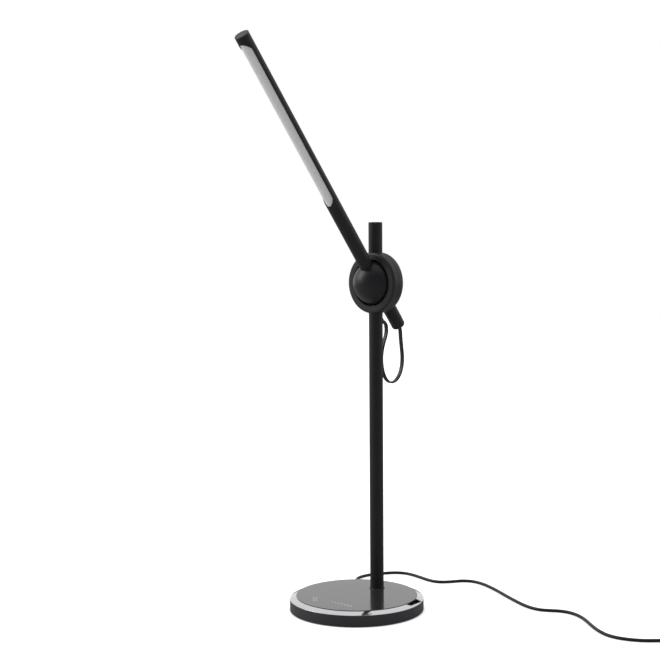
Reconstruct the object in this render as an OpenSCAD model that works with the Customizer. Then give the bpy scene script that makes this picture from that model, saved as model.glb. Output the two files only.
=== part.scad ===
// Folding LED desk lamp. A straight arm tube runs through a ball that tilts inside a ring
// at the top of a pole. Millimetres, +Z up, origin at the middle of the base underside,
// the light reaches out towards -Y.

/* [Base] */
// Diameter of the round base
base_d = 180; // [170:1:200]
// Thickness of the base from the floor to the top plate
base_t = 20; // [19:0.5:24]
// Height of the straight side wall, below the polished bezel
wall_top = 15.5; // [15:0.5:16.5]
// Diameter of the flat top plate
plate_d = 162.6; // [150:0.2:166]
// Thickness of the top plate
plate_t = 3; // [2.5:0.5:3.5]
// Height at which the foot pad lifts the housing off the table
foot_gap = 1; // [0.5:0.5:1.5]

/* [Pole] */
// Outer diameter of the pole and of the arm tube
tube_d = 18.6; // [18:0.1:19]
// Wall thickness of both tubes
tube_wall = 1.2; // [1:0.1:1.4]
// Distance of the pole behind the middle of the base
pole_back = 42; // [36:1:44]
// Height of the top of the pole stub
pole_top = 518; // [500:1:560]
// Height of the lead grommet below the middle of the ring
grommet_drop = 51.5; // [51:0.5:53]

/* [Ring joint] */
// Height of the middle of the ring
ring_z = 437.5; // [420:0.5:450]
// Outer diameter of the ring
ring_d = 81.4; // [80:0.2:83]
// Diameter of the opening in the ring
ring_bore_d = 61.4; // [61.2:0.1:61.8]
// Width of the ring from its front face to its rear face
ring_w = 21; // [20.6:0.2:22]
// Radius of the rounded outer edges of the ring
ring_edge = 3.4; // [2.5:0.1:4]
// Diameter of the ball that carries the arm
ball_d = 60.4; // [60:0.1:60.8]
// Diameter of the two tilt pins
pin_d = 4; // [3:0.5:4.5]

/* [Arm] */
// Angle of the arm above the horizontal
arm_angle = 51; // [45:0.5:53]
// Length of the arm ahead of the tilt axis
arm_front = 383; // [360:1:420]
// Length of the arm behind the tilt axis
arm_tail = 77; // [72:1:80]

/* [Light] */
// Start of the light window, from the tilt axis
window_from = 134; // [110:1:150]
// End of the light window
window_to = 373.5; // [340:0.5:373.5]
// Half width of the light window
window_half = 8.9; // [8.8:0.1:9]
// Length of each rounded end of the window
window_end = 12; // [9:0.5:14]
// Number of light diodes
led_count = 24; // [12:1:36]

/* [Cord] */
// Diameter of the round power cord
cord_d = 4.1; // [3.6:0.1:4.2]
// Direction of the cord exit, degrees from straight back towards the left
exit_angle = 41.5; // [40:0.5:43]
// Mean diameter of the coil of spare cord
coil_d = 45; // [44:1:46]
// Width of the wound section of the coil
coil_band = 12.6; // [12:0.1:13]

/* [Hidden] */
$fn = 64;

// Clearance of pieces that only touch
eps = 0.05;
base_r = base_d / 2;
plate_r = plate_d / 2;
tube_r = tube_d / 2;
tube_in = tube_r - tube_wall;
ring_r = ring_d / 2;
ring_half = ring_w / 2;
bore_r = ring_bore_d / 2;
ball_r = ball_d / 2;
pin_r = pin_d / 2;

// Base housing: wall, deck, moulded ribs, screw posts and the boss under the pole
wall_t = 4;
deck_t = 2.5;
deck_z = wall_top - deck_t;
ledge_r = plate_r - 5;
plate_z = base_t - plate_t;
bezel_land = 0.3;
rib_t = 1.4;
rib_h = 4.5;
rib_from = 71.5;
rib_angles = [for (i = [0:11]) 5 + 30 * i];
post_at = 77.5;
post_r = 4.4;
post_angles = [20, 110, 200, 290];
hook_x = -23;

// Bottom cover, foot pad and cover screws
cover_t = 2.5;
cover_r = base_r - wall_t - 0.2;
inside_z = foot_gap + cover_t;
pad_r = 70;
pad_t = foot_gap + 1;
screw_r = 1.5;
screw_head_r = 2.8;
screw_head_t = 1.4;

// Foot of the pole: boss, socket, threaded spigot and nut
boss_r = 16;
boss_z = inside_z + 1;
socket_z = boss_z + 2;
spigot_h = 24;
rod_r = 5;
nut_r = 8;
nut_h = 2.4;

// Ballast and the channels that the leads lie in
ballast_r = 70;
ballast_z = inside_z + 0.2;
channel_w = 8;
channel_x = -26.5;
board_l = 56;
board_w = 20;
board_t = 1.6;
board_z = 6;
mark_y = -49.5;
electrode_l = 76;
electrode_w = 14;

// Cord exit and strain relief
cord_z = 7;
bush_r = 4;
flange_r = 5.6;
relief_r = base_r + 20;
inlet_end = relief_r - 16;

// Flat lead in the pole, the arm and the loop between them
lead_w = 6.2;
lead_t = 2.4;
slot_w = lead_w + 0.8;
lead_z = socket_z + 3.5;
bend_r = 6;
grommet_r = 4.1;
grommet_lip = 1.4;

// Ring: parting groove, bore chamfer, tube seats, screws and the lands beside the ball
groove = 0.35;
bore_chamfer = 0.5;
seat = 32.5;
insert_len = 10;
ring_screw_at = 35.2;
ring_screw_r = 1.1;
ring_head_r = 1.6;
ring_head_t = 1.8;
head_sink = 2.6;
ring_angles = [for (i = [0:5]) 30 + 60 * i];
washer_r = 7;
washer_t = 1.1;
ball_flat = 28.2;
land_r = washer_r - 0.5;
land_x = ball_flat + washer_t + 0.2;
pin_from = 20;
pin_l = 16;
grub_z = 12;
grub_r = 2;

// Arm ends and light strip
flat_y = -2.8;
diffuser_wall = 1.5;
strip_from = window_from - 7;
strip_to = window_to + 0.4;
tip_flange = 1.2;
tip_edge = 0.4;
tail_flange = 3;
tail_edge = 2.4;
plug_l = 8;

// Supply lead inside the base, from the board to the strain relief
INLET_ROUTE = [
    [channel_x, -37, cord_z], [channel_x, -18, cord_z], [channel_x, 2, cord_z],
    [channel_x, 18, cord_z], [-27.6, 27, cord_z], [-31, 34.8, cord_z]
];

// Lead from the tail of the arm to the pole, in the plane of symmetry: [behind, above]
// the tilt axis
LOOP_ROUTE = [
    [48.8, -60.2], [49.8, -61.7], [51, -65], [51.7, -70], [52.4, -78], [54.1, -90],
    [55.6, -103], [54.3, -116], [49.4, -127], [41.5, -134.3], [32, -136.6], [22.6, -132.8],
    [15.8, -124], [12.2, -113], [11.2, -102], [12.6, -92], [15.8, -82], [19.8, -73.4],
    [21.7, -67], [21.8, -61.5], [20.4, -56.5], [16.8, -52.8], [14.2, -51.8], [12, -51.5]
];

// Power cord on the table, from the tip of the strain relief to the coil
CORD_ROUTE = [
    [-76, 86, 6.8], [-83, 93.8, 5.4], [-91, 102.8, 3], [-98, 110.8, 2.1], [-103, 118.5, 2.1],
    [-105.2, 128.4, 2.1], [-104.2, 141.4, 2.1], [-99.8, 156, 2.1], [-91.8, 169.2, 2.1],
    [-82.6, 180.3, 2.1], [-69, 186.9, 2.1], [-52.4, 186.4, 2.1], [-35, 182, 2.1],
    [-19, 178, 2.1], [-5, 177, 2.1], [5.8, 182, 2.1], [14.8, 193, 2.1],
    [23.6, 206, 2.1], [38.2, 212.6, 2.1], [58.4, 209.4, 2.1], [84, 198, 2.1],
    [109.4, 184, 2.1], [139, 167.4, 2.1], [170.6, 152.2, 2.1], [192.6, 148.4, 2.1],
    [206.2, 153.6, 2.1], [220, 160.8, 2.1], [237.4, 161.6, 2.1], [260.6, 150.6, 2.1],
    [295.6, 121.8, 2.1], [319.6, 107, 2.1], [338, 103.6, 2.1], [355, 106.8, 2.1],
    [370, 114.5, 2.1], [384, 126.5, 2.1], [397, 139, 2.1], [409, 150.1, 2.1]
];
coil_mid = [426.5, 130];
coil_h = 12.4;

// Short end of the cord, from the coil to the adapter
END_ROUTE = [
    [439, 148.6, 14.5], [447, 149.6, 14.5], [455, 152.4, 13.8], [462, 156, 12.4],
    [468, 158.6, 11.3], [474, 159.5, 11], [482, 159.5, 11], [491, 159.5, 11]
];
adapter_at = [492, 159.5];
adapter_l = 46;
adapter_w = 36;
adapter_h = 27;
adapter_cord_z = 11;
adapter_corner = 6;
adapter_edge = 1.2;
adapter_seam = 0.5;
blade_l = 16;
blade_w = 6.3;
blade_t = 1.5;
blade_pitch = 12.7;
blade_root = 4;

coat = [0.09, 0.09, 0.1];
gloss = [0.05, 0.05, 0.06];
zinc = [0.7, 0.7, 0.72];

// ---- shared shapes ----

module arm_frame() {
    translate([0, pole_back, ring_z]) rotate([90 - arm_angle, 0, 0]) children();
}

module at_pivot() {
    translate([0, pole_back, ring_z]) children();
}

module along_y() {
    rotate([-90, 0, 0]) children();
}

module hollow_tube(from, to) {
    translate([0, 0, from]) difference() {
        cylinder(r = tube_r, h = to - from);
        translate([0, 0, -1]) cylinder(r = tube_in, h = to - from + 2);
    }
}

module cord_exit() {
    translate([0, 0, cord_z]) rotate(exit_angle) along_y() children();
}

// A point of the cord's straight way out of the base, r from the middle
function exit_point(r) = [-r * sin(exit_angle), r * cos(exit_angle), cord_z];

module rounded_plate(l, w, r, h) {
    linear_extrude(h) {
        square([l - 2 * r, w], center = true);
        square([l, w - 2 * r], center = true);
        for (x = [-1, 1], y = [-1, 1]) translate([x * (l / 2 - r), y * (w / 2 - r)]) circle(r = r);
    }
}

module flat_lead(w = lead_w, t = lead_t) {
    square([w - t, t], center = true);
    for (x = [-1, 1]) translate([x * (w - t) / 2, 0]) circle(d = t, $fn = 24);
}

// Catmull-Rom point between b and c
function between(a, b, c, d, t) = 0.5 * (2 * b + (c - a) * t
    + (2 * a - 5 * b + 4 * c - d) * t * t + (3 * b - a - 3 * c + d) * t * t * t);

// A route with points added between its own points
function smooth_route(p, n) = [
    for (i = [0:len(p) - 2], k = [0:n - 1])
        between(p[max(i - 1, 0)], p[i], p[i + 1], p[min(i + 2, len(p) - 1)], k / n),
    p[len(p) - 1]
];

function unit(v) = v / norm(v);
function heading(p, i) = unit(p[min(i + 1, len(p) - 1)] - p[max(i - 1, 0)]);

// Sweeps an oval section along a route. wide is the direction of its width.
module swept(route, width, thick, wide, sides = 8) {
    rings = len(route);
    points = [
        for (i = [0:rings - 1])
            let (along = heading(route, i), side = unit(wide - (wide * along) * along),
                 up = cross(along, side))
            for (k = [0:sides - 1])
                let (a = 360 * (k + 0.5) / sides)
                route[i] + side * width / 2 * cos(a) + up * thick / 2 * sin(a)
    ];
    walls = [
        for (i = [0:rings - 2], k = [0:sides - 1])
            let (a = i * sides + k, b = i * sides + (k + 1) % sides)
            each [[a, a + sides, b + sides], [a, b + sides, b]]
    ];
    first = [for (k = [0:sides - 1]) k];
    last = [for (k = [sides - 1:-1:0]) (rings - 1) * sides + k];
    polyhedron(points, concat(walls, [first], [last]), convexity = 10);
}

// Round cord on the table: its section's sides stand level
module cord_run(route) {
    swept(smooth_route(route, 2), cord_d, cord_d, [0, 0, 1]);
}

// ---- base ----

module base_housing() {
    color(coat) difference() {
        union() {
            difference() {
                translate([0, 0, foot_gap]) cylinder(r = base_r, h = wall_top - foot_gap, $fn = 180);
                translate([0, 0, -1]) cylinder(r = base_r - wall_t, h = deck_z + 1, $fn = 180);
            }
            translate([0, pole_back, boss_z]) cylinder(r = boss_r, h = deck_z - boss_z + 0.5);
            for (a = post_angles) rotate(a) translate([post_at, 0, inside_z])
                cylinder(r = post_r, h = deck_z - inside_z + 0.5);
            for (a = rib_angles) rotate(a) translate([rib_from, -rib_t / 2, deck_z - rib_h])
                cube([base_r - wall_t / 2 - rib_from, rib_t, rib_h + deck_t / 2]);
        }
        translate([0, pole_back, socket_z]) cylinder(r = tube_r + eps, h = base_t);
        translate([0, pole_back, -1]) cylinder(r = rod_r + 0.1, h = base_t);
        translate([-slot_w / 2, pole_back - boss_r - 1, socket_z])
            cube([slot_w, boss_r, deck_z - socket_z]);
        for (a = post_angles) rotate(a) translate([post_at, 0, 0])
            cylinder(r = screw_r, h = deck_z - deck_t + 0.5);
        cord_exit() translate([0, 0, base_r - wall_t - 3]) cylinder(r = bush_r + eps, h = wall_t + 4);
        translate([hook_x - 1, mark_y - 3, deck_z - 1]) cube([2, 6, deck_t + 2]);
    }
}

module polished_bezel() {
    color(zinc) rotate_extrude($fn = 180) polygon([
        [ledge_r, wall_top], [base_r, wall_top], [base_r, wall_top + bezel_land],
        [plate_r + 0.1, base_t], [plate_r + 0.1, plate_z], [ledge_r, plate_z]
    ]);
}

module top_plate() {
    color(gloss) difference() {
        translate([0, 0, plate_z]) cylinder(r = plate_r, h = plate_t, $fn = 180);
        translate([0, pole_back, 0]) cylinder(r = tube_r + 0.1, h = base_t + 1);
    }
}

module ballast_plate() {
    board_front = mark_y + 1 - board_w / 2;
    board_back = mark_y + board_w / 2;
    color([0.35, 0.35, 0.37]) difference() {
        translate([0, 0, ballast_z]) cylinder(r = ballast_r, h = deck_z - ballast_z - 0.2);
        translate([0, pole_back, 0]) cylinder(r = boss_r + 0.5, h = base_t);
        translate([-board_l / 2 - 2.5, board_front, 0]) cube([board_l + 5, board_w + 3, base_t]);
        translate([-channel_w / 2, board_back, 0])
            cube([channel_w, pole_back - boss_r - board_back + 1, base_t]);
        translate([channel_x - channel_w / 2, board_back, 0]) cube([channel_w, 72.5, base_t]);
        rotate(exit_angle) translate([-channel_w / 2, 34, 0])
            cube([channel_w, ballast_r - 30, base_t]);
    }
}

module bottom_cover() {
    color([0.12, 0.12, 0.13]) difference() {
        translate([0, 0, foot_gap]) cylinder(r = cover_r, h = cover_t, $fn = 120);
        translate([0, 0, -1]) cylinder(r = pad_r + 0.2, h = pad_t + 1, $fn = 120);
        translate([0, pole_back, -1]) cylinder(r = nut_r + 0.6, h = base_t);
        for (a = post_angles) rotate(a) translate([post_at, 0, -1]) {
            cylinder(r = screw_r + 0.2, h = base_t);
            cylinder(r = screw_head_r + 0.3, h = pad_t + 1);
        }
        cord_exit() translate([0, 0, base_r - wall_t - 4]) cylinder(r = flange_r + 0.2, h = 6);
    }
}

module foot_pad() {
    color([0.06, 0.06, 0.06]) cylinder(r = pad_r, h = pad_t, $fn = 120);
}

module bottom_screws() {
    slot = [3.2, 0.6, 0.7];
    color(zinc) for (a = post_angles) rotate(a) translate([post_at, 0, 0]) difference() {
        union() {
            translate([0, 0, pad_t - screw_head_t]) cylinder(r = screw_head_r, h = screw_head_t);
            translate([0, 0, pad_t - 0.1]) cylinder(r = screw_r - 0.02, h = 8);
        }
        for (t = [0, 90]) rotate(t) translate([-slot[0] / 2, -slot[1] / 2, 0])
            cube([slot[0], slot[1], pad_t - slot[2]]);
    }
}

module touch_electrodes() {
    board_top = board_z + board_t;
    color([0.8, 0.5, 0.3]) {
        translate([-electrode_l / 2, mark_y - electrode_w / 2, wall_top])
            cube([electrode_l, electrode_w, plate_z - wall_top]);
        translate([hook_x - 0.5, mark_y - 2, board_top]) cube([1, 4, wall_top - board_top]);
    }
}

module dimmer_board() {
    color([0.05, 0.3, 0.15]) translate([0, mark_y + 2.5, 0]) {
        translate([-board_l / 2, -board_w / 2, board_z]) cube([board_l, board_w, board_t]);
        translate([-8, -6, board_z + board_t]) cube([12, 12, 1.4]);
        translate([9, -7, board_z + board_t]) cube([7, 14, 1.9]);
        for (y = [-5, 5]) translate([22, y, board_z + board_t]) cylinder(d = 6, h = 2);
    }
}

module inlet_lead() {
    route = concat(INLET_ROUTE, [for (r = [52, 66, 80, inlet_end]) exit_point(r)]);
    color([0.1, 0.1, 0.1]) swept(smooth_route(route, 1), cord_d, cord_d, [0, 0, 1]);
}

module cord_strain_relief() {
    cone_from = base_r + 3.4;
    rib_pitch = 3.4;
    color(coat) cord_exit() difference() {
        union() {
            translate([0, 0, base_r - wall_t - 2.2]) cylinder(r = flange_r, h = 2);
            translate([0, 0, base_r - wall_t - 0.5]) cylinder(r = bush_r, h = wall_t + 1);
            translate([0, 0, base_r + 0.4]) cylinder(r1 = 4.6, r2 = 4.2, h = 3);
            translate([0, 0, cone_from]) cylinder(r1 = 3.9, r2 = 2.9, h = relief_r - cone_from);
        }
        translate([0, 0, base_r - 9]) cylinder(d = cord_d + 0.1, h = 40);
        for (i = [0:3], s = [0, 180]) rotate(s + 90 * (i % 2))
            translate([1.5, -5, base_r + 6 + rib_pitch * i]) cube([4, 10, 1.2]);
    }
}

// ---- pole ----

// Hole for a ring screw that goes through the end of a tube, with room for its head
module ring_screw_hole(z) {
    at_pivot() translate([0, 0, z]) along_y() {
        translate([0, 0, -20]) cylinder(r = ring_screw_r + eps, h = 40);
        translate([0, 0, ring_half - head_sink]) cylinder(r = ring_head_r + 0.1, h = 2 * head_sink);
    }
}

module pole_tube() {
    color(coat) difference() {
        translate([0, pole_back, 0]) hollow_tube(socket_z, ring_z - seat);
        translate([-slot_w / 2, pole_back - tube_d, socket_z])
            cube([slot_w, tube_d, deck_z - socket_z]);
        at_pivot() translate([0, 0, -grommet_drop]) along_y() cylinder(r = grommet_r + 0.1, h = 20);
        ring_screw_hole(-ring_screw_at);
    }
}

module pole_foot_collar() {
    lip = 0.6;
    edge = 0.5;
    color(coat) translate([0, pole_back, base_t]) difference() {
        rotate_extrude() {
            square([tube_r + lip + edge, lip]);
            square([tube_r + lip, lip + edge]);
            translate([tube_r + lip, lip]) circle(r = edge, $fn = 24);
        }
        translate([0, 0, -1]) cylinder(r = tube_r + eps, h = 5);
    }
}

module pole_foot_insert() {
    passage_z = lead_z - 1.5;
    color(zinc) translate([0, pole_back, 0]) difference() {
        union() {
            translate([0, 0, socket_z]) cylinder(r = tube_in - eps, h = spigot_h);
            translate([0, 0, boss_z - nut_h]) cylinder(r = rod_r, h = nut_h + 2.5);
        }
        translate([0, 0, passage_z]) cylinder(r = lead_w / 2 + 0.3, h = 2 * spigot_h);
        translate([-slot_w / 2, -tube_r, passage_z]) cube([slot_w, tube_r, bend_r + 3]);
    }
}

module pole_lock_nut() {
    color(zinc) translate([0, pole_back, boss_z - nut_h]) difference() {
        cylinder(r = nut_r, h = nut_h, $fn = 6);
        translate([0, 0, -1]) cylinder(r = rod_r + 0.02, h = 10);
    }
}

// Quarter bend of the flat lead, from straight up to level towards +Y
module lead_bend() {
    translate([0, bend_r, 0]) rotate([0, 90, 0]) rotate(180)
        rotate_extrude(angle = 90) translate([bend_r, 0]) rotate(90) flat_lead();
}

module pole_lead() {
    low = lead_z + bend_r;
    top = ring_z - grommet_drop - bend_r;
    from = mark_y + board_w / 2 + 2;
    color([0.1, 0.1, 0.1]) {
        translate([0, from, lead_z]) along_y() linear_extrude(pole_back - bend_r - from) flat_lead();
        translate([0, pole_back, low]) rotate([180, 0, 0]) lead_bend();
        translate([0, pole_back, low]) linear_extrude(top - low) flat_lead();
        translate([0, pole_back, top]) lead_bend();
        translate([0, pole_back + bend_r, top + bend_r]) along_y()
            linear_extrude(LOOP_ROUTE[len(LOOP_ROUTE) - 1][0] - bend_r) flat_lead();
    }
}

module pole_grommet() {
    edge = 0.8;
    color(gloss) at_pivot() translate([0, 0, -grommet_drop]) difference() {
        along_y() translate([0, 0, tube_in]) {
            translate([0, 0, -0.2]) cylinder(r = grommet_r, h = 3);
            rotate_extrude() {
                square([grommet_r + grommet_lip, tube_wall + 1]);
                square([grommet_r + grommet_lip - edge, tube_wall + 1 + edge]);
                translate([grommet_r + grommet_lip - edge, tube_wall + 1]) circle(r = edge, $fn = 24);
            }
        }
        difference() {
            translate([0, 0, -10]) cylinder(r = tube_r + eps, h = 20);
            along_y() cylinder(r = grommet_r, h = 20);
        }
        along_y() linear_extrude(20) flat_lead(lead_w + 0.1, lead_t + 0.1);
    }
}

module upper_stub() {
    color(coat) difference() {
        translate([0, pole_back, 0]) hollow_tube(ring_z + seat, pole_top - 1.5);
        ring_screw_hole(ring_screw_at);
    }
}

module stub_cap() {
    flange = 1.5;
    edge = 0.7;
    color(gloss) translate([0, pole_back, pole_top - flange]) {
        translate([0, 0, 0.5 - plug_l]) cylinder(r = tube_in - eps, h = plug_l);
        rotate_extrude() {
            square([tube_r - edge, flange]);
            square([tube_r, flange - edge]);
            translate([tube_r - edge, flange - edge]) circle(r = edge, $fn = 24);
        }
    }
}

module tube_end_inserts() {
    color(zinc) for (s = [-1, 1]) difference() {
        at_pivot() translate([0, 0, s * (seat + insert_len / 2)])
            cylinder(r = tube_in - eps, h = insert_len, center = true);
        ring_screw_hole(s * ring_screw_at);
    }
}

// ---- ring ----

// Points of a quarter arc, turning left from the direction from
function quarter_arc(centre, r, from, steps) = [
    for (i = [0:steps]) let (a = from + 90 * i / steps) centre + r * [cos(a), sin(a)]
];

// Half section of the ring behind its parting plane: chamfered bore, rounded outer edge
// and one side of the parting groove
module ring_half_profile() {
    polygon(concat(
        [[bore_r + bore_chamfer, ring_half], [bore_r, ring_half - bore_chamfer], [bore_r, 0]],
        [[ring_r - groove, 0], [ring_r, groove]],
        quarter_arc([ring_r - ring_edge, ring_half - ring_edge], ring_edge, 0, 8)
    ));
}

// Both ends of the tilt axis, each with its own Z pointing out of the ball
module pin_ends() {
    for (s = [0, 180]) rotate([0, s, 0]) rotate([0, 90, 0]) children();
}

// One moulded half of the ring. side is -1 for the front and 1 for the rear.
module ring_half_shell(side) {
    difference() {
        union() {
            along_y() rotate_extrude($fn = 120) mirror([0, side < 0 ? 1 : 0]) ring_half_profile();
            intersection() {
                pin_ends() translate([0, 0, land_x]) cylinder(r = land_r, h = bore_r + 1.5 - land_x);
                translate([0, side * ring_half, 0]) cube([ring_d, ring_w, ring_d], center = true);
            }
        }
        for (s = [-1, 1]) translate([0, 0, s * (seat + 10)])
            cylinder(r = tube_r + eps, h = 20, center = true);
        for (a = ring_angles) rotate([0, a, 0]) translate([ring_screw_at, -8, 0])
            along_y() cylinder(r = ring_screw_r + eps, h = 2 * ring_w);
        pin_ends() translate([0, 0, bore_r - 4]) cylinder(r = pin_r + 0.02, h = pin_l - 5);
    }
}

module ring_front_shell() {
    color(coat) at_pivot() ring_half_shell(-1);
}

module ring_rear_shell() {
    color(coat) at_pivot() difference() {
        ring_half_shell(1);
        for (a = ring_angles) rotate([0, a, 0]) translate([ring_screw_at, ring_half - head_sink, 0])
            along_y() cylinder(r = ring_head_r + 0.1, h = 2 * head_sink);
    }
}

module ring_screws() {
    color(zinc) at_pivot() for (a = ring_angles) rotate([0, a, 0]) translate([ring_screw_at, 0, 0])
        along_y() difference() {
            union() {
                translate([0, 0, ring_half - head_sink]) cylinder(r = ring_head_r, h = ring_head_t);
                translate([0, 0, -7]) cylinder(r = ring_screw_r, h = ring_half + 5);
            }
            translate([0, 0, ring_half - ring_head_t]) cylinder(r = 0.9, h = 3, $fn = 6);
        }
}

module pivot_pins() {
    color(zinc) at_pivot() pin_ends() translate([0, 0, pin_from]) cylinder(r = pin_r, h = pin_l);
}

module friction_washers() {
    color([0.6, 0.55, 0.4]) at_pivot() pin_ends() translate([0, 0, ball_flat + 0.1]) difference() {
        cylinder(r = washer_r, h = washer_t);
        translate([0, 0, -1]) cylinder(r = pin_r + 0.02, h = 4);
    }
}

// ---- arm ----

// The light window: straight sides, and ends that are half ellipses of the length window_end
function window_outline() = [
    for (i = [0:64])
        let (a = -90 + 360 * i / 64, end = sin(a) < 0 || i == 64 ? window_from + window_end
             : window_to - window_end)
        [window_half * cos(a), end + window_end * sin(a)]
];

module arm_tube() {
    color(coat) arm_frame() difference() {
        hollow_tube(-arm_tail + tail_flange, arm_front - tip_flange);
        translate([0, flat_y, 0]) rotate([90, 0, 0]) linear_extrude(tube_r) polygon(window_outline());
    }
}

module ball_hub() {
    color(gloss) arm_frame() difference() {
        sphere(r = ball_r, $fn = 120);
        cylinder(r = tube_r + 0.02, h = 2 * ball_d, center = true);
        pin_ends() {
            translate([0, 0, ball_flat]) cylinder(r = washer_r + 1, h = 5);
            translate([0, 0, pin_from - 0.6]) cylinder(r = pin_r + 0.03, h = 20);
        }
        for (z = [-grub_z, grub_z]) translate([0, 0, z]) along_y() cylinder(r = grub_r, h = ball_r);
    }
}

module grub_screws() {
    color(zinc) arm_frame() for (z = [-grub_z, grub_z]) translate([0, tube_r + 0.1, z])
        along_y() difference() {
            cylinder(r = grub_r - 0.02, h = 6);
            translate([0, 0, 3.5]) cylinder(r = 1, h = 5, $fn = 6);
        }
}

module light_diffuser() {
    length = strip_to - strip_from;
    color([0.85, 0.85, 0.86]) arm_frame() translate([0, 0, strip_from]) difference() {
        cylinder(r = tube_in - eps, h = length);
        translate([0, 0, -1]) cylinder(r = tube_in - diffuser_wall, h = length + 2);
        translate([-tube_d, -0.4, -1]) cube([2 * tube_d, tube_d, length + 2]);
    }
}

module led_carrier() {
    length = strip_to - strip_from;
    fin_gap = 2;
    color(zinc) arm_frame() translate([0, 0, strip_from]) difference() {
        cylinder(r = tube_in - eps, h = length);
        translate([-tube_d, 0.9 - tube_d, -1]) cube([2 * tube_d, tube_d, length + 2]);
        for (x = [-4.2, 0, 4.2]) translate([x - fin_gap / 2, 3.6, -1])
            cube([fin_gap, tube_d, length + 2]);
    }
}

module led_board() {
    width = 11;
    color([0.9, 0.9, 0.88]) arm_frame() translate([-width / 2, -0.2, window_from - 5])
        cube([width, 1.05, window_to - window_from + 5]);
}

module leds() {
    led = [2.8, 0.7, 3.5];
    pitch = (window_to - window_from - 12) / led_count;
    color([0.95, 0.9, 0.5]) arm_frame() for (i = [0:led_count - 1])
        translate([-led[0] / 2, -0.2 - led[1], window_from + 6 + pitch * (i + 0.5) - led[2] / 2])
            cube(led);
}

module tip_cap() {
    color([0.25, 0.25, 0.26]) arm_frame() translate([0, 0, arm_front - tip_flange]) {
        translate([0, 0, 0.2 - plug_l]) cylinder(r = tube_in - eps, h = plug_l);
        rotate_extrude() {
            square([tube_r - tip_edge, tip_flange]);
            square([tube_r, tip_flange - tip_edge]);
            translate([tube_r - tip_edge, tip_flange - tip_edge]) circle(r = tip_edge, $fn = 24);
        }
    }
}

module tail_cap() {
    color(coat) arm_frame() translate([0, 0, -arm_tail]) difference() {
        union() {
            translate([0, 0, tail_flange - 0.5]) cylinder(r = tube_in - eps, h = plug_l);
            rotate_extrude() {
                translate([0, tail_edge]) square([tube_r, tail_flange - tail_edge]);
                square([tube_r - tail_edge, tail_flange]);
                translate([tube_r - tail_edge, tail_edge]) intersection() {
                    circle(r = tail_edge, $fn = 40);
                    translate([-tail_edge, -tail_edge]) square([2 * tail_edge, tail_edge + 0.01]);
                }
            }
        }
        translate([0, 0, -1]) linear_extrude(20) flat_lead(lead_w + 0.1, lead_t + 0.1);
    }
}

module arm_lead() {
    color([0.1, 0.1, 0.1]) arm_frame() translate([0, 0, -arm_tail])
        linear_extrude(arm_tail + strip_from - 0.2) flat_lead();
}

module lead_loop() {
    route = [for (p = LOOP_ROUTE) [0, p[0], p[1]]];
    color([0.1, 0.1, 0.1]) at_pivot() swept(smooth_route(route, 2), lead_w, lead_t, [1, 0, 0]);
}

// ---- power cord and adapter ----

module power_cord() {
    inside = [for (r = [inlet_end, relief_r - 6]) exit_point(r)];
    color([0.08, 0.08, 0.08]) cord_run(concat(inside, CORD_ROUTE));
}

module power_cord_coil() {
    corner = 3;
    color([0.08, 0.08, 0.08]) translate([coil_mid[0], coil_mid[1], 0]) rotate_extrude($fn = 72)
        translate([coil_d / 2, 0]) {
            translate([-coil_band / 2, corner]) square([coil_band, coil_h - 2 * corner]);
            translate([corner - coil_band / 2, 0]) square([coil_band - 2 * corner, coil_h]);
            for (x = [-1, 1], y = [corner, coil_h - corner])
                translate([x * (coil_band / 2 - corner), y]) circle(r = corner, $fn = 24);
        }
}

module power_cord_end() {
    color([0.08, 0.08, 0.08]) cord_run(END_ROUTE);
}

// Both blades, grown all round by extra
module blades(extra = 0) {
    translate([adapter_at[0] + adapter_l - blade_root, adapter_at[1], adapter_h / 2])
        for (y = [-1, 1] * blade_pitch / 2) translate([0, y, 0]) rotate([0, 90, 0])
            linear_extrude(blade_l + blade_root)
                square([blade_w + 2 * extra, blade_t + 2 * extra], center = true);
}

// A case of two halves that meet in a fine groove halfway up
module adapter_body() {
    half = (adapter_h - adapter_seam) / 2;
    color([0.07, 0.07, 0.07]) difference() {
        translate([adapter_at[0] + adapter_l / 2, adapter_at[1], 0]) {
            rounded_plate(adapter_l - 2 * adapter_edge, adapter_w - 2 * adapter_edge,
                adapter_corner - adapter_edge, adapter_h);
            for (z = [adapter_edge, half + adapter_seam]) translate([0, 0, z])
                rounded_plate(adapter_l, adapter_w, adapter_corner, half - adapter_edge);
        }
        blades(0.02);
    }
}

module adapter_pins() {
    color(zinc) blades();
}

module adapter_relief() {
    color([0.07, 0.07, 0.07]) translate([adapter_at[0], adapter_at[1], adapter_cord_z])
        rotate([0, -90, 0]) difference() {
            union() {
                cylinder(r = 4.4, h = 2.5);
                cylinder(r1 = 3.8, r2 = 2.8, h = 17);
            }
            translate([0, 0, -1]) cylinder(d = cord_d + 0.1, h = 30);
        }
}

base_housing();
polished_bezel();
top_plate();
ballast_plate();
bottom_cover();
foot_pad();
bottom_screws();
touch_electrodes();
dimmer_board();
inlet_lead();
cord_strain_relief();
pole_tube();
pole_foot_collar();
pole_foot_insert();
pole_lock_nut();
pole_lead();
pole_grommet();
upper_stub();
stub_cap();
tube_end_inserts();
ring_front_shell();
ring_rear_shell();
ring_screws();
pivot_pins();
friction_washers();
arm_tube();
ball_hub();
grub_screws();
light_diffuser();
led_carrier();
led_board();
leds();
tip_cap();
tail_cap();
arm_lead();
lead_loop();
power_cord();
power_cord_coil();
power_cord_end();
adapter_body();
adapter_pins();
adapter_relief();
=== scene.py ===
"""Slim LED desk lamp: round weighted base, straight pole, tilting light arm in a ring."""
import math

import bmesh
import bpy
from mathutils import Matrix, Vector


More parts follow.
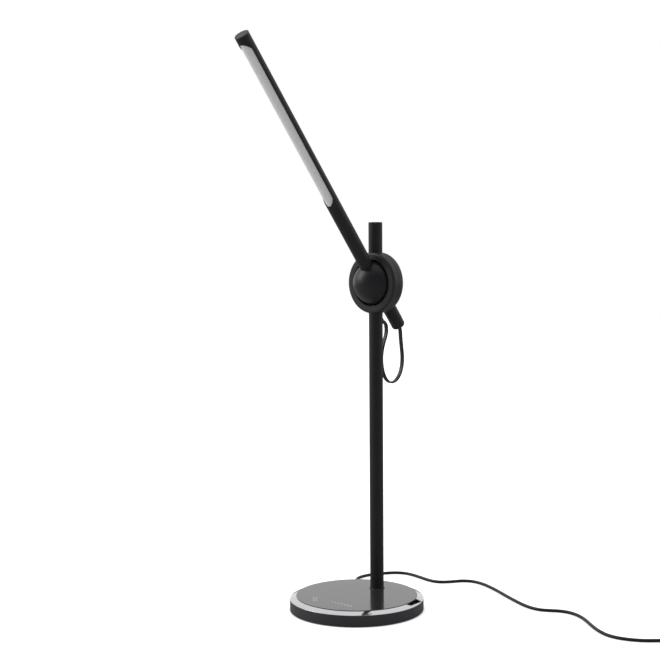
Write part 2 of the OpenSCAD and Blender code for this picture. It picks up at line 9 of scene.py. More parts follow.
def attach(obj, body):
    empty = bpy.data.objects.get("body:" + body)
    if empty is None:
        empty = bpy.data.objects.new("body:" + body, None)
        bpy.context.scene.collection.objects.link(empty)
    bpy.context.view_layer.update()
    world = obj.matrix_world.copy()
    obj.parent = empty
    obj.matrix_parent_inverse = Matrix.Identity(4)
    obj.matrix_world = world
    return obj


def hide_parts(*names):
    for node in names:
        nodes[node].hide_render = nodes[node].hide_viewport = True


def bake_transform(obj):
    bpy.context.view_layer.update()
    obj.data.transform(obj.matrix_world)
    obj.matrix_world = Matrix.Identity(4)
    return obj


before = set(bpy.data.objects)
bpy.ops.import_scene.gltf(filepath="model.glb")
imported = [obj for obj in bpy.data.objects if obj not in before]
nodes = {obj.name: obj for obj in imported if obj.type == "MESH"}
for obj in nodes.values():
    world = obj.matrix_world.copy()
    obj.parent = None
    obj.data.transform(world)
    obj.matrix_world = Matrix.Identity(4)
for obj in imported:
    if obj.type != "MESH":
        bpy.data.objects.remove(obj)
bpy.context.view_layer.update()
MM = 0.001

# ---- Camera ----
# A long lens from the front right, a little above the top plate, with the lamp
# placed low and to the right of the lens axis by shift.
CAMERA_AZIMUTH = math.radians(41.5)
CAMERA_ELEVATION = math.radians(6.0)
CAMERA_ROLL = math.radians(-0.36)
CAMERA_TARGET = Vector((0, 0, 0.300))
CAMERA_DISTANCE = 1.7447
CAMERA_LENS_MM = 71.8
CAMERA_SENSOR_MM = 36
CAMERA_SHIFT = (-0.0386, 0.0872)
CAMERA_REACH = 20


def put_in_scene(name, data):
    """A new object of the scene, which shows data."""
    made = bpy.data.objects.new(name, data)
    bpy.context.scene.collection.objects.link(made)
    return made


camera = put_in_scene("camera", bpy.data.cameras.new("camera"))
bpy.context.scene.camera = camera
camera.data.sensor_width = CAMERA_SENSOR_MM
camera.data.sensor_fit = "HORIZONTAL"
camera.data.lens = CAMERA_LENS_MM
camera.data.shift_x, camera.data.shift_y = CAMERA_SHIFT
camera.data.clip_end = CAMERA_REACH
to_camera = Vector((
    math.sin(CAMERA_AZIMUTH) * math.cos(CAMERA_ELEVATION),
    -math.cos(CAMERA_AZIMUTH) * math.cos(CAMERA_ELEVATION),
    math.sin(CAMERA_ELEVATION),
))
level = Vector((math.cos(CAMERA_AZIMUTH), math.sin(CAMERA_AZIMUTH), 0))
turn = Matrix.Rotation(CAMERA_ROLL, 3, to_camera)
upward = to_camera.cross(level)
axes = Matrix((turn @ level, turn @ upward, to_camera)).transposed().to_4x4()
standpoint = Matrix.Translation(CAMERA_TARGET + to_camera * CAMERA_DISTANCE)
camera.matrix_world = standpoint @ axes


# ---- Power cord ----
# A round 4 mm two-core cord, 1.8 m long, of soft black PVC. It leaves the base through
# the strain relief and wanders over the table. Its spare length is wound into a coil
# beside the wall adapter, and a thin strap holds the coil.
class Wire:
    """A shader socket that takes part in arithmetic: each operator adds a Math node."""

    def __init__(self, finish, socket):
        self.finish, self.socket = finish, socket

    def maths(self, operation, *values):
        sockets = dict(enumerate(values))
        return self.finish.node("Math", {"operation": operation}, sockets)

    def __add__(self, other):
        return self.maths("ADD", self, other)

    def __rsub__(self, other):
        return self.maths("SUBTRACT", other, self)

    def __mul__(self, other):
        return self.maths("MULTIPLY", self, other)

    def __pow__(self, other):
        return self.maths("POWER", self, other)

    def sine(self):
        return self.maths("SINE", self)

    def above(self, low, high):
        """0 below low, 1 above high, and a smooth step between them."""
        return self.finish.node(
            "MapRange",
            {"interpolation_type": "SMOOTHSTEP"},
            {"Value": self, "From Min": low, "From Max": high},
        )

    __rmul__ = __mul__


class Finish:
    """A node tree of one surface. node() adds a node and gives the wire of an output."""

    def __init__(self, owner):
        owner.use_nodes = True
        self.owner, self.tree = owner, owner.node_tree
        self.tree.nodes.clear()

    def node(self, kind, settings=None, sockets=None, output=0):
        made = self.tree.nodes.new("ShaderNode" + kind)
        for key, value in (settings or {}).items():
            setattr(made, key, value)
        for key, value in (sockets or {}).items():
            if isinstance(value, Wire):
                self.tree.links.new(value.socket, made.inputs[key])
            else:
                made.inputs[key].default_value = value
        return Wire(self, made.outputs[output]) if made.outputs else None

    def place(self):
        return self.node("TexCoord", output="Object")

    def axis(self, name):
        return self.node("SeparateXYZ", None, {0: self.place()}, output=name)

    def noise(self, scale, detail, roughness=0.5, at=None):
        return self.node("TexNoise", None, {
            "Vector": at or self.place(), "Scale": scale, "Detail": detail,
            "Roughness": roughness,
        })

    def stretched(self, x, y, z):
        """Object coordinates with each axis scaled, for grain that runs one way."""
        return self.node("Mapping", None, {"Vector": self.place(), "Scale": (x, y, z)})

    def bump(self, height, strength, distance):
        return self.node(
            "Bump", None, {"Height": height, "Strength": strength, "Distance": distance}
        )

    def blend(self, factor, low, high):
        return self.node(
            "Mix",
            {"data_type": "RGBA"},
            {"Factor": factor, 6: colour(low), 7: colour(high)},
            output=2,
        )

    def surface(self, **sockets):
        """Ends the tree in a Principled BSDF: coat_weight sets the socket Coat Weight."""
        named = {
            key.replace("_", " ").title().replace("Ior", "IOR"): value
            for key, value in sockets.items()
        }
        shader = self.node("BsdfPrincipled", None, named)
        self.node("OutputMaterial", None, {"Surface": shader})
        return self.owner


def colour(value):
    """A number as a neutral colour, or three numbers as they are, with their alpha."""
    return (*(value if isinstance(value, tuple) else (value, value, value)), 1.0)


def finish(name):
    return Finish(bpy.data.materials.new(name))


def dress(material, *names):
    """Gives CAD nodes their material."""
    for name in names:
        nodes[name].data.materials.clear()
        nodes[name].data.materials.append(material)


def piece(name, mesh, material, body, replaced=(), crease=None):
    """An object that rides on a body and stands for the CAD nodes replaced. Edges that
    turn by more than crease degrees stay sharp."""
    made = put_in_scene(name, mesh)
    mesh.materials.clear()
    mesh.materials.append(material)
    mesh.shade_smooth()
    if crease:
        mesh.set_sharp_from_angle(angle=math.radians(crease))
    if body:
        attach(made, body)
    if replaced:
        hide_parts(*replaced)
    return made


def curve_through(points, steps):
    """Catmull-Rom points along a route, with steps from each given point to the next."""
    last = len(points) - 1
    found = []
    for i in range(last):
        a, b, c, d = (points[min(max(i + k, 0), last)] for k in (-1, 0, 1, 2))
        for k in range(steps):
            t = k / steps
            found.append(0.5 * (
                2 * b + (c - a) * t + (2 * a - 5 * b + 4 * c - d) * t ** 2
                + (3 * b - a - 3 * c + d) * t ** 3
            ))
    return found + [points[last]]


def skin(name, rings, loops=False):
    """A closed mesh over rings of points: capped at both ends, or joined if it loops."""
    made = bmesh.new()
    rows = [[made.verts.new(point) for point in ring] for ring in rings]
    for low, high in zip(rows, rows[1:] + (rows[:1] if loops else [])):
        for k, vertex in enumerate(low):
            n = (k + 1) % len(low)
            made.faces.new((vertex, low[n], high[n], high[k]))
    if not loops:
        made.faces.new(rows[0][::-1])
        made.faces.new(rows[-1])
    bmesh.ops.recalc_face_normals(made, faces=made.faces)
    mesh = bpy.data.meshes.new(name)
    made.to_mesh(mesh)
    made.free()
    return mesh


def swept(name, path, outline, wide, loops=False):
    """A closed tube along path. The outline gives the section as (across, through) pairs,
    and wide is the direction that across keeps to."""
    rings = []
    last = len(path) - 1
    for i, point in enumerate(path):
        if loops:
            along = (path[(i + 1) % len(path)] - path[i - 1]).normalized()
        else:
            along = (path[min(i + 1, last)] - path[max(i - 1, 0)]).normalized()
        side = (wide - wide.dot(along) * along).normalized()
        through = along.cross(side)
        rings.append([point + side * u + through * v for u, v in outline])
    return skin(name, rings, loops)


def round_section(radius, sides):
    angles = [k * (2 * math.pi / sides) for k in range(sides)]
    return [(radius * math.cos(a), radius * math.sin(a)) for a in angles]


def rounded_box(half_w, half_h, corner, steps):
    """Outline of a rectangle with round corners, anticlockwise."""
    found = []
    for n, (sx, sy) in enumerate(((1, 1), (-1, 1), (-1, -1), (1, -1))):
        for k in range(steps + 1):
            a = math.radians(90 * (n + k / steps))
            found.append((
                sx * (half_w - corner) + corner * math.cos(a),
                sy * (half_h - corner) + corner * math.sin(a),
            ))
    return found


CORD_D = 4.1 * MM
CORD_STEPS, CORD_SIDES = 3, 14
CORD_ON_TABLE = 2.1
EXIT_ROUTE = [
    (-72.9, 82.4, 7), (-76, 86, 6.8), (-83, 93.8, 5.4), (-91, 102.8, 3),
]
TABLE_ROUTE = [
    (-98, 110.8), (-103, 118.5), (-105.2, 128.4), (-104.2, 141.4), (-99.8, 156),
    (-91.8, 169.2), (-82.6, 180.3), (-69, 186.9), (-52.4, 186.4), (-35, 182),
    (-19, 178), (-5, 177), (5.8, 182), (14.8, 193), (23.6, 206), (38.2, 212.6),
    (58.4, 209.4), (84, 198), (109.4, 184), (139, 167.4), (170.6, 152.2),
    (192.6, 148.4), (206.2, 153.6), (220, 160.8), (237.4, 161.6), (260.6, 150.6),
    (295.6, 121.8), (319.6, 107), (338, 103.6), (355, 106.8), (370, 114.5),
    (384, 126.5), (397, 139),
]
END_ROUTE = [
    (439, 148.6, 14.5), (447, 149.6, 14.5), (455, 152.4, 13.8), (462, 156, 12.4),
    (468, 158.6, 11.3), (474, 159.5, 11), (482, 159.5, 11), (490, 159.5, 11),
]
COIL_MIDDLE = (426.5, 130)
COIL_OUTER = 26.65
COIL_STEP = 4.15
COIL_RISE = 4.05
COIL_LIFT = 0.25
COIL_FROM, COIL_TO = 131, 90
COIL_LAYERS, COIL_WHOLE = 3, 7
COIL_STEPS = 20
SETTLE_TURNS, INWARD_TURNS, LEAVE_TURNS = 0.125, 0.5, 0.35


def coil_points():
    """Layers of turns wound clockwise from the outside in: up, down and up again."""
    turns = COIL_WHOLE + (COIL_FROM - COIL_TO) / 360
    per_layer = turns / COIL_LAYERS
    count = round(turns * COIL_STEPS)
    found = []
    for k in range(count + 1):
        turned = turns * k / count
        layer = min(int(turned / per_layer), COIL_LAYERS - 1)
        along = turned / per_layer - layer
        rise = 1 - along if layer == 1 else along
        inward = 0.0
        if layer < COIL_LAYERS - 1:
            inward = max(0.0, (along - 1) * per_layer + INWARD_TURNS) / INWARD_TURNS
        radius = COIL_OUTER - COIL_STEP * (layer + inward * inward * (3 - 2 * inward))
        last_rise = max(0.0, turned - turns + LEAVE_TURNS) / LEAVE_TURNS * COIL_RISE
        settle = COIL_LIFT * min(1.0, turned / SETTLE_TURNS)
        angle = math.radians(COIL_FROM) - 2 * math.pi * turned
        found.append((
            COIL_MIDDLE[0] + radius * math.cos(angle),
            COIL_MIDDLE[1] + radius * math.sin(angle),
            CORD_ON_TABLE + settle + 2 * COIL_RISE * rise + last_rise,
        ))
    return found


cord_route = (
    EXIT_ROUTE + [(x, y, CORD_ON_TABLE) for x, y in TABLE_ROUTE]
    + coil_points() + END_ROUTE
)
cord_path = curve_through([Vector(p) * MM for p in cord_route], CORD_STEPS)
jacket = finish("cord jacket")
jacket_pvc = jacket.surface(
    base_color=jacket.blend(jacket.noise(60, 2), 0.010, 0.014),
    roughness=jacket.noise(120, 2) * 0.12 + 0.36,
    specular_ior_level=0.4,
    normal=jacket.bump(jacket.noise(1400, 2), 0.12, 0.0002),
)
cord_section = round_section(CORD_D / 2, CORD_SIDES)
power_cord = piece(
    "power_cord_jacket",
    swept("power_cord_jacket", cord_path, cord_section, Vector((0, 0, 1))),
    jacket_pvc, "stand", ["power_cord", "power_cord_coil", "power_cord_end"],
)
dress(
    jacket_pvc, "inlet_lead", "pole_lead", "arm_lead", "lead_loop", "power_cord",
    "power_cord_coil", "power_cord_end",
)

# The strap goes once round the turns, opposite the side where the cord leaves them.
STRAP_W, STRAP_T = 7 * MM, 0.28 * MM
STRAP_AT = math.radians(-60)
STRAP_HEIGHT = 6.42 * MM
STRAP_HALF_W, STRAP_HALF_H, STRAP_CORNER = 6.45 * MM, 6.12 * MM, 2.2 * MM
STRAP_CORNER_STEPS = 6
strap_out = Vector((math.cos(STRAP_AT), math.sin(STRAP_AT), 0))
strap_middle = (
    Vector((*COIL_MIDDLE, 0)) * MM + strap_out * (COIL_OUTER - COIL_STEP) * MM
)
strap_path = [
    strap_middle + strap_out * u + Vector((0, 0, STRAP_HEIGHT + v))
    for u, v in rounded_box(STRAP_HALF_W, STRAP_HALF_H, STRAP_CORNER, STRAP_CORNER_STEPS)
]
strap_section = [
    (-STRAP_W / 2, 0), (STRAP_W / 2, 0), (STRAP_W / 2, STRAP_T), (-STRAP_W / 2, STRAP_T),
]
strap_weave = finish("woven strap")
strap_cloth = strap_weave.surface(
    base_color=strap_weave.blend(strap_weave.noise(1500, 2), 0.01, 0.03),
    roughness=0.85,
    normal=strap_weave.bump(
        strap_weave.node("TexWave", {"bands_direction": "DIAGONAL"}, {
            "Vector": strap_weave.place(), "Scale": 900, "Distortion": 1.5,
        }), 0.4, 0.0003),
)
piece(
    "coil_strap",
    swept(
        "coil_strap", strap_path, strap_section, strap_out.cross(Vector((0, 0, 1))),
        loops=True,
    ),
    strap_cloth, "stand", crease=40,
)

# ---- Lead loop ----
# A flat two-core lead that hangs from the tail of the arm in a free loop and goes into
# the back of the pole, so that the arm can tilt.
LEAD_W = 6.2 * MM
LEAD_T = 2.4 * MM
CORE_HALF_ARC, CORE_STEPS = 108, 12
PIVOT = Vector((0, 42, 437.5)) * MM
LOOP_STEPS = 4
LOOP_ROUTE = [
    (48.8, -60.2), (49.8, -61.7), (51, -65), (51.7, -70), (52.4, -78), (54.1, -90),
    (55.6, -103), (54.3, -116), (49.4, -127), (41.5, -134.3), (32, -136.6),
    (22.6, -132.8), (15.8, -124), (12.2, -113), (11.2, -102), (12.6, -92), (15.8, -82),
    (19.8, -73.4), (21.7, -67), (21.8, -61.5), (20.4, -56.5), (16.8, -52.8),
    (14.2, -51.8), (12, -51.5),
]
loop_path = curve_through([PIVOT + Vector((0, *p)) * MM for p in LOOP_ROUTE], LOOP_STEPS)


def arc(centre, radius, from_angle, to_angle, steps):
    """Points of an arc, for a profile or an outline."""
    found = []
    for k in range(steps + 1):
        a = math.radians(from_angle + (to_angle - from_angle) * k / steps)
        x, y = centre
        found.append((x + radius * math.cos(a), y + radius * math.sin(a)))
    return found


def twin_section():
    """Section of a flat lead: two round cores side by side with a shallow waist."""
    middle = (LEAD_W - LEAD_T) / 2
    half = arc((middle, 0), LEAD_T / 2, -CORE_HALF_ARC, CORE_HALF_ARC, CORE_STEPS)
    return half + [(-x, -y) for x, y in half]


loop_jacket = piece(
    "lead_loop_jacket",
    swept("lead_loop_jacket", loop_path, twin_section(), Vector((1, 0, 0))),
    jacket_pvc, None, ["lead_loop"],
)
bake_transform(loop_jacket)
loop_length = sum((b - a).length for a, b in zip(loop_path, loop_path[1:]))

# ---- Base housing ----
# One black moulding: a straight side wall under a deck, with ribs, screw posts and the
# boss for the pole inside. Its cover is pressed in from below and held by four screws.
CARBON_TINT = (0.95, 0.97, 1.15)


def cool(tone):
    """A dark grey with a trace of blue, as carbon black gives plastic and paint."""
    return tuple(tone * part for part in CARBON_TINT)


def moulding(name, tone, roughness, grain, depth, shine=0.5):
    """Black plastic with the fine even grain of an etched mould."""
    plastic = finish(name)
    return plastic.surface(
        base_color=plastic.blend(
            plastic.noise(45, 2), cool(tone * 0.88), cool(tone * 1.12)
        ),
        roughness=plastic.noise(30, 2) * 0.08 + (roughness - 0.04),
        specular_ior_level=shine,
        normal=plastic.bump(plastic.noise(grain, 2), depth, 0.0001),
    )


satin_moulding = moulding(
    "satin moulding", tone=0.031, roughness=0.46, grain=2300, depth=0.3
)
dress(
    satin_moulding, "base_housing", "bottom_cover", "cord_strain_relief",
    "pole_foot_collar",
)

# ---- Polished bezel ----
# A turned aluminium ring round the top plate. Its slope is cut with a diamond tool, which
# leaves it mirror bright with very fine rings, and its two edges are just broken.
BASE_R, RIM_R, LEDGE_R = 90, 81.4, 76.3
WALL_TOP, RIM_TOP, BASE_TOP, PLATE_UNDER = 15.5, 19.1, 20.0, 17.0
BEZEL_LAND, BEZEL_STEPS = 0.3, 240
EDGE, EDGE_STEPS = 0.22, 3
EDGE_DROP, EDGE_INSET = EDGE * 0.6, EDGE * 1.2
TURNING_RATE = 12000


def lathe(name, profile, steps):
    """A closed profile of (radius, height) pairs in mm, turned once round the Z axis."""
    rings = []
    for k in range(steps):
        a = 2 * math.pi * k / steps
        x, y = math.cos(a), math.sin(a)
        rings.append([Vector((r * MM * x, r * MM * y, z * MM)) for r, z in profile])
    return skin(name, rings, loops=True)


bright = finish("diamond-turned aluminium")
from_middle = (bright.axis("X") ** 2 + bright.axis("Y") ** 2) ** 0.5
turning = (from_middle * TURNING_RATE).sine()
bezel_bright = bright.surface(
    base_color=bright.blend(bright.noise(20, 2), 0.6, 0.65),
    metallic=1.0,
    roughness=bright.noise(50, 2) * 0.03 + 0.05,
    normal=bright.bump(turning, 0.02, 0.00002),
)
slope_top = 90 - math.degrees(
    math.atan2(RIM_TOP - WALL_TOP - BEZEL_LAND, BASE_R - RIM_R)
)
outer_edge = (BASE_R - EDGE, WALL_TOP + BEZEL_LAND - EDGE_DROP)
inner_edge = (RIM_R + EDGE_INSET, RIM_TOP - EDGE)
bezel_profile = (
    [(LEDGE_R, WALL_TOP), (BASE_R, WALL_TOP)]
    + arc(outer_edge, EDGE, 0, slope_top, EDGE_STEPS)
    + arc(inner_edge, EDGE, slope_top, 90, EDGE_STEPS)
    + [(RIM_R, RIM_TOP), (RIM_R, PLATE_UNDER), (LEDGE_R, PLATE_UNDER)]
)
piece(
    "bezel_ring", lathe("bezel_ring", bezel_profile, BEZEL_STEPS), bezel_bright, "stand",
    ["polished_bezel"], crease=25,
)
dress(bezel_bright, "polished_bezel")

# ---- Top plate and its touch marks ----
# A disc of black acrylic, polished, just proud of the bezel. The touch marks on it are
# thin grey ink: an open ring with a bar for on and off, a ring for the warmth of the
# light, and a row of strokes that grow along the slider.
acrylic = finish("black acrylic")
smears = acrylic.noise(9, 3, 0.6)
plate_gloss = acrylic.surface(
    base_color=acrylic.blend(acrylic.noise(14, 2), 0.024, 0.03),
    roughness=smears * 0.07 + 0.09,
    specular_ior_level=1.0,
    normal=acrylic.bump(acrylic.noise(700, 2), 0.02, 0.0001),
)
dress(plate_gloss, "top_plate")
ink = finish("grey ink")
ink_grey = ink.surface(
    base_color=ink.blend(ink.noise(3000, 2), 0.66, 0.78), roughness=0.5
)


class Repeat:
    """A geometry node tree that sets copies of its own mesh out at points and gives them
    a material."""

    def __init__(self, name, inputs):
        self.tree = bpy.data.node_groups.new(name, "GeometryNodeTree")
        face = self.tree.interface
        face.new_socket("Geometry", in_out="INPUT", socket_type="NodeSocketGeometry")
        for label, kind in inputs:
            face.new_socket(label, in_out="INPUT", socket_type="NodeSocket" + kind)
        face.new_socket("Geometry", in_out="OUTPUT", socket_type="NodeSocketGeometry")
        self.given = self.tree.nodes.new("NodeGroupInput")

    def node(self, kind, sockets):
        made = self.tree.nodes.new(kind)
        for key, value in sockets.items():
            if isinstance(value, bpy.types.NodeSocket):
                self.tree.links.new(value, made.inputs[key])
            else:
                made.inputs[key].default_value = value
        return made

    def end(self, points, scale, material):
        copies = self.node("GeometryNodeInstanceOnPoints", {
            "Points": points, "Instance": self.given.outputs["Geometry"], "Scale": scale,
        })
        real = self.node("GeometryNodeRealizeInstances", {0: copies.outputs[0]})
        painted = self.node("GeometryNodeSetMaterial", {
            "Geometry": real.outputs[0], "Material": material,
        })
        self.node("NodeGroupOutput", {"Geometry": painted.outputs[0]})
        return self

    def apply(self, name, mesh, values):
        """Runs the tree on a mesh and gives the plain mesh that comes out."""
        holder = put_in_scene(name, mesh)
        modifier = holder.modifiers.new(name, "NODES")
        modifier.node_group = self.tree
        for socket in self.tree.interface.items_tree:
            if socket.in_out == "INPUT" and socket.name in values:
                modifier[socket.identifier] = values[socket.name]
        bpy.context.view_layer.update()
        seen = holder.evaluated_get(bpy.context.evaluated_depsgraph_get())
        made = bpy.data.meshes.new_from_object(seen)
        bpy.data.objects.remove(holder)
        made.name = name
        return made


def line_of_strokes():
    """Strokes in a row: Count of them, Step apart, First times as long as the mesh and
    growing towards Last times."""
    tree = Repeat("strokes", [
        ("Count", "Int"), ("Start", "Vector"), ("Step", "Vector"), ("First", "Float"),
        ("Last", "Float"), ("Material", "Material"),
    ])
    given = tree.given.outputs
    line = tree.node("GeometryNodeMeshLine", {
        "Count": given["Count"], "Start Location": given["Start"],
        "Offset": given["Step"],
    })
    order = tree.node("GeometryNodeInputIndex", {})
    size = tree.node("ShaderNodeMapRange", {
        "Value": order.outputs[0], "From Max": given["Count"], "To Min": given["First"],
        "To Max": given["Last"],
    })
    scale = tree.node("ShaderNodeCombineXYZ", {
        "X": 1.0, "Y": size.outputs[0], "Z": 1.0,
    })
    return tree.end(line.outputs[0], scale.outputs[0], given["Material"])


MARK_Y = -49.5 * MM
MARK_Z = BASE_TOP * MM
INK_T, INK_HALF_W = 0.03 * MM, 0.38 * MM
STROKE_HALF_W, STROKE_HALF_L, STROKE_CORNER = 0.8 * MM, 1.2 * MM, 0.6 * MM
STROKES, STROKES_FROM, STROKE_STEP = 7, 0.5 * MM, 5.5 * MM
FIRST_STROKE, LAST_STROKE = 0.9, 2.0
POWER_AT, POWER_R, POWER_BAR = (-30, -49.5), 3, (1, 3.6)
POWER_OPENS, POWER_CLOSES = -235, 55
WARMTH_AT, WARMTH_R = (-22.5, -58), 2.3
CORNER_STEPS, RING_STEPS, HALF_STEPS = 4, 36, 20

stroke_outline = rounded_box(STROKE_HALF_W, STROKE_HALF_L, STROKE_CORNER, CORNER_STEPS)
stroke = skin("stroke", [
    [Vector((x, y, z)) for x, y in stroke_outline] for z in (0, INK_T)
])
strokes = line_of_strokes().apply("slider_strokes", stroke, {
    "Count": STROKES, "Start": (STROKES_FROM, MARK_Y, MARK_Z),
    "Step": (STROKE_STEP, 0, 0), "First": FIRST_STROKE, "Last": LAST_STROKE,
    "Material": ink_grey,
})
piece("slider_strokes", strokes, ink_grey, "stand", crease=30)
ink_line = [
    (0, -INK_HALF_W), (INK_T, -INK_HALF_W), (INK_T, INK_HALF_W), (0, INK_HALF_W),
]
for name, line in (
    ("power_mark", arc(POWER_AT, POWER_R, POWER_OPENS, POWER_CLOSES, RING_STEPS)),
    ("power_mark_bar", [(POWER_AT[0], POWER_AT[1] + y) for y in POWER_BAR]),
    ("warmth_mark", arc(WARMTH_AT, WARMTH_R, -90, 90, HALF_STEPS)),
    ("warmth_mark_half", arc(WARMTH_AT, WARMTH_R, 90, 270, HALF_STEPS)),
):
    path = [Vector((x * MM, y * MM, MARK_Z)) for x, y in line]
    piece(
        name, swept(name, path, ink_line, Vector((0, 0, 1))), ink_grey, "stand",
        crease=30,
    )

# ---- Inside and under the base ----
# A cast weight, a foil electrode and the dimmer board, and under the cover a foam pad and
# four screws. The pole's foot, the ring and the ball are held by plated steel too.
iron = finish("cast iron")
cast_iron = iron.surface(
    base_color=iron.blend(iron.noise(80, 4), 0.06, 0.12),
    metallic=0.8,
    roughness=iron.noise(200, 3) * 0.2 + 0.5,
    normal=iron.bump(iron.noise(600, 4), 0.6, 0.0006),
)
dress(cast_iron, "ballast_plate")

foam = finish("foam rubber")
cells = foam.node("TexVoronoi", None, {"Vector": foam.place(), "Scale": 900.0})
foam_rubber = foam.surface(
    base_color=foam.blend(foam.noise(200, 2), 0.012, 0.022),
    roughness=0.9,
    normal=foam.bump(cells, 0.5, 0.0005),
)
dress(foam_rubber, "foot_pad")

foil = finish("copper foil")
copper = foil.surface(
    base_color=foil.blend(foil.noise(300, 3), (0.72, 0.36, 0.2), (0.85, 0.5, 0.32)),
    metallic=1.0,
    roughness=foil.noise(500, 3) * 0.2 + 0.2,
    normal=foil.bump(foil.noise(250, 3), 0.3, 0.0003),
)
dress(copper, "touch_electrodes")

resist = finish("green resist")
tracks = resist.node("TexBrick", None, {
    "Vector": resist.place(), "Scale": 400.0, "Mortar Size": 0.03,
}, output="Fac")
board_green = resist.surface(
    base_color=resist.blend(tracks, (0.01, 0.12, 0.04), (0.05, 0.3, 0.1)),
    roughness=0.35,
    normal=resist.bump(tracks, 0.4, 0.0001),
)
dress(board_green, "dimmer_board")

zinc = finish("zinc plate")
zinc_plate = zinc.surface(
    base_color=zinc.blend(zinc.noise(400, 3), 0.42, 0.58),
    metallic=1.0,
    roughness=zinc.noise(700, 3) * 0.16 + 0.22,
    normal=zinc.bump(zinc.noise(2500, 2), 0.1, 0.00005),
)
dress(
    zinc_plate, "bottom_screws", "pole_foot_insert", "pole_lock_nut", "ring_screws",
    "pivot_pins", "grub_screws",
)

# ---- Pole ----
# A drawn steel tube with a fine powder coat, which has the slight orange peel of baked
# powder, a glossy cap on the stub above the ring, and a grommet where the lead comes out.
POWDER_TONE = 0.0145
powder = finish("satin powder coat")
orange_peel = powder.noise(1300, 2) + powder.noise(3600, 2) * 0.6
powder_coat = powder.surface(
    base_color=powder.blend(
        powder.noise(40, 2), cool(POWDER_TONE * 0.9), cool(POWDER_TONE * 1.1)
    ),
    roughness=powder.noise(35, 2) * 0.06 + 0.47,
    specular_ior_level=0.28,
    normal=powder.bump(orange_peel, 0.16, 0.00012),
)
dress(powder_coat, "pole_tube", "upper_stub", "arm_tube")
glossy_plastic = moulding(
    "gloss plastic", tone=0.013, roughness=0.33, grain=500, depth=0.03, shine=0.3
)
dress(glossy_plastic, "pole_grommet", "stub_cap", "ball_hub")

# ---- Ring joint ----
# Two moulded halves, screwed together from behind, clamp the ends of the pole and carry
# the pins of the ball. Washers of natural nylon beside the ball give the friction.
ring_moulding = moulding(
    "ring moulding", tone=0.017, roughness=0.46, grain=2300, depth=0.3, shine=0.4
)
dress(ring_moulding, "ring_front_shell", "ring_rear_shell", "tail_cap")
nylon = finish("natural nylon")
washer_nylon = nylon.surface(
    base_color=nylon.blend(nylon.noise(300, 2), (0.5, 0.45, 0.32), (0.6, 0.55, 0.42)),
    roughness=0.55,
    normal=nylon.bump(nylon.noise(1500, 2), 0.1, 0.0001),
)
dress(washer_nylon, "friction_washers")
extrusion = finish("extruded aluminium")
bare_aluminium = extrusion.surface(
    base_color=extrusion.blend(extrusion.noise(60, 2), 0.5, 0.62),
    metallic=1.0,
    roughness=extrusion.noise(900, 2) * 0.15 + 0.28,
    normal=extrusion.bump(
        extrusion.noise(300, 2, at=extrusion.stretched(10, 1, 1)), 0.15, 0.00008
    ),
)
dress(bare_aluminium, "tube_end_inserts", "led_carrier")

# ---- Light arm ----
# A drawn aluminium tube, painted like the pole, with a flat milled along its underside
# for the light, a grey cap on its tip and a black one on its tail.
cap_plastic = moulding(
    "grey cap plastic", tone=0.022, roughness=0.5, grain=2200, depth=0.3
)
dress(cap_plastic, "tip_cap")

# ---- Light strip ----
# An opal trough under the milled flat spreads the light of the diodes behind it, which
# sit on a white board on an aluminium carrier.
opal = finish("opal diffuser")
opal_plastic = opal.surface(
    base_color=opal.blend(opal.noise(30, 2), 0.74, 0.78),
    roughness=opal.noise(80, 2) * 0.06 + 0.45,
    specular_ior_level=0.2,
    normal=opal.bump(opal.noise(900, 2), 0.03, 0.00005),
)
dress(opal_plastic, "light_diffuser")
white_resist = finish("white resist")
board_white = white_resist.surface(
    base_color=white_resist.blend(white_resist.noise(500, 2), 0.78, 0.84),
    roughness=0.4,
    normal=white_resist.bump(white_resist.noise(1500, 2), 0.1, 0.00005),
)
dress(board_white, "led_board")
phosphor = finish("phosphor")
phosphor_yellow = phosphor.surface(
    base_color=phosphor.blend(
        phosphor.noise(2500, 3), (0.85, 0.66, 0.16), (0.95, 0.8, 0.3)
    ),
    roughness=0.3,
    coat_weight=0.4,
)
dress(phosphor_yellow, "leds")

# ---- Wall adapter ----
# A black case of two halves with a fine texture, plated blades and a moulded strain
# relief where the cord goes in.
case_plastic = moulding("adapter case", tone=0.017, roughness=0.5, grain=1800, depth=0.5)
dress(case_plastic, "adapter_body", "adapter_relief")
dress(zinc_plate, "adapter_pins")

# ---- Studio ----
# A white sweep: a pale floor, a surround that is dimmer towards the camera, a large soft
# light on the left, and a dark card behind on the right, which the bezel mirrors. Close
# to the lamp the floor's glow is darkened by ambient occlusion, a painted contact shadow.
SURROUND = 0.95
DIMMED, DIMS_FROM, DIMS_TO = 0.75, 0.05, 0.75
CARD_ACROSS, CARD_HEIGHT, CARD_EDGE = (0.12, 0.34), (0.33, 0.56), 0.01
CARD_BEHIND = (-0.1, 0)
FLOOR_HALF = 6.0
FLOOR_TONE, FLOOR_MIRRORED, FLOOR_GLOW = 0.7, 0.42, 0.8
PAINTED_SHADOW_REACH = 0.006
SOFTBOX_AT = Vector((-1.6, -1.1, 1.5))
SOFTBOX_SIZE, SOFTBOX_WATTS = (1.2, 1.4), 18

world = bpy.data.worlds.new("surround")
bpy.context.scene.world = world
sky = Finish(world)
direction = sky.node("TexCoord", output="Generated")
towards_camera = Vector((math.sin(CAMERA_AZIMUTH), -math.cos(CAMERA_AZIMUTH), 0))


def along(way):
    """How far the direction of a ray goes along way, from -1 to 1."""
    return sky.node(
        "VectorMath", {"operation": "DOT_PRODUCT"}, {0: direction, 1: way}, output="Value"
    )


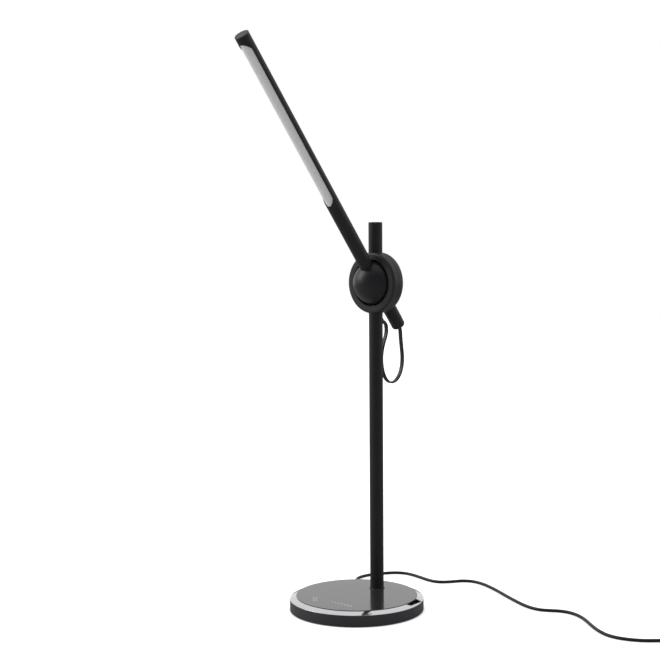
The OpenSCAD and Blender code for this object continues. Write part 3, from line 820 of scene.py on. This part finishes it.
def within(wire, low, high):
    """1 from low to high, with soft edges, and 0 elsewhere."""
    return wire.above(low, low + CARD_EDGE) * (1 - wire.above(high, high + CARD_EDGE))


def background(strength):
    return sky.node("Background", None, {"Color": colour(1.0), "Strength": strength})


facing, across = along(towards_camera), along(level)
height = sky.node("SeparateXYZ", None, {0: direction}, output="Z")
behind = 1 - facing.above(*CARD_BEHIND)
card = within(across, *CARD_ACROSS) * within(height, *CARD_HEIGHT) * behind
dimmed = 1 - DIMMED * facing.above(DIMS_FROM, DIMS_TO)
sky.node("OutputWorld", None, {
    "Surface": sky.node("MixShader", None, {
        0: sky.node("LightPath", output="Is Camera Ray"),
        1: background(dimmed * (1 - card) * SURROUND),
        2: background(1.0),
    }),
})

floor_mesh = bpy.data.meshes.new("floor")
corners = ((-1, -1), (1, -1), (1, 1), (-1, 1))
floor_mesh.from_pydata(
    [(x * FLOOR_HALF, y * FLOOR_HALF, 0) for x, y in corners], [], [(0, 1, 2, 3)]
)
floor = put_in_scene("floor", floor_mesh)
paper = finish("white sweep")
seen = paper.node("LightPath", output="Is Camera Ray")
mirrored = paper.node("LightPath", output="Is Glossy Ray")
# Ambient occlusion darkens the floor's glow within a few millimetres of the base and the
# cord: a painted contact shadow.
painted_contact_shadow = paper.node(
    "AmbientOcclusion", {"samples": 8}, {"Distance": PAINTED_SHADOW_REACH}, output="AO"
)
matt = paper.node("BsdfDiffuse", None, {
    "Color": paper.blend(mirrored, FLOOR_TONE, FLOOR_MIRRORED),
})
glow = paper.node("Emission", None, {
    "Color": colour(1.0), "Strength": seen * painted_contact_shadow * FLOOR_GLOW,
})
paper.node("OutputMaterial", None, {
    "Surface": paper.node("AddShader", None, {0: matt, 1: glow}),
})
floor_mesh.materials.append(paper.owner)

light = bpy.data.lights.new("left softbox", "AREA")
light.shape, light.size, light.size_y = "RECTANGLE", *SOFTBOX_SIZE
light.energy = SOFTBOX_WATTS
softbox = put_in_scene("left softbox", light)
softbox.location = SOFTBOX_AT
softbox.rotation_euler = (CAMERA_TARGET - SOFTBOX_AT).to_track_quat("-Z", "Y").to_euler()

bpy.context.scene.view_settings.view_transform = "Standard"
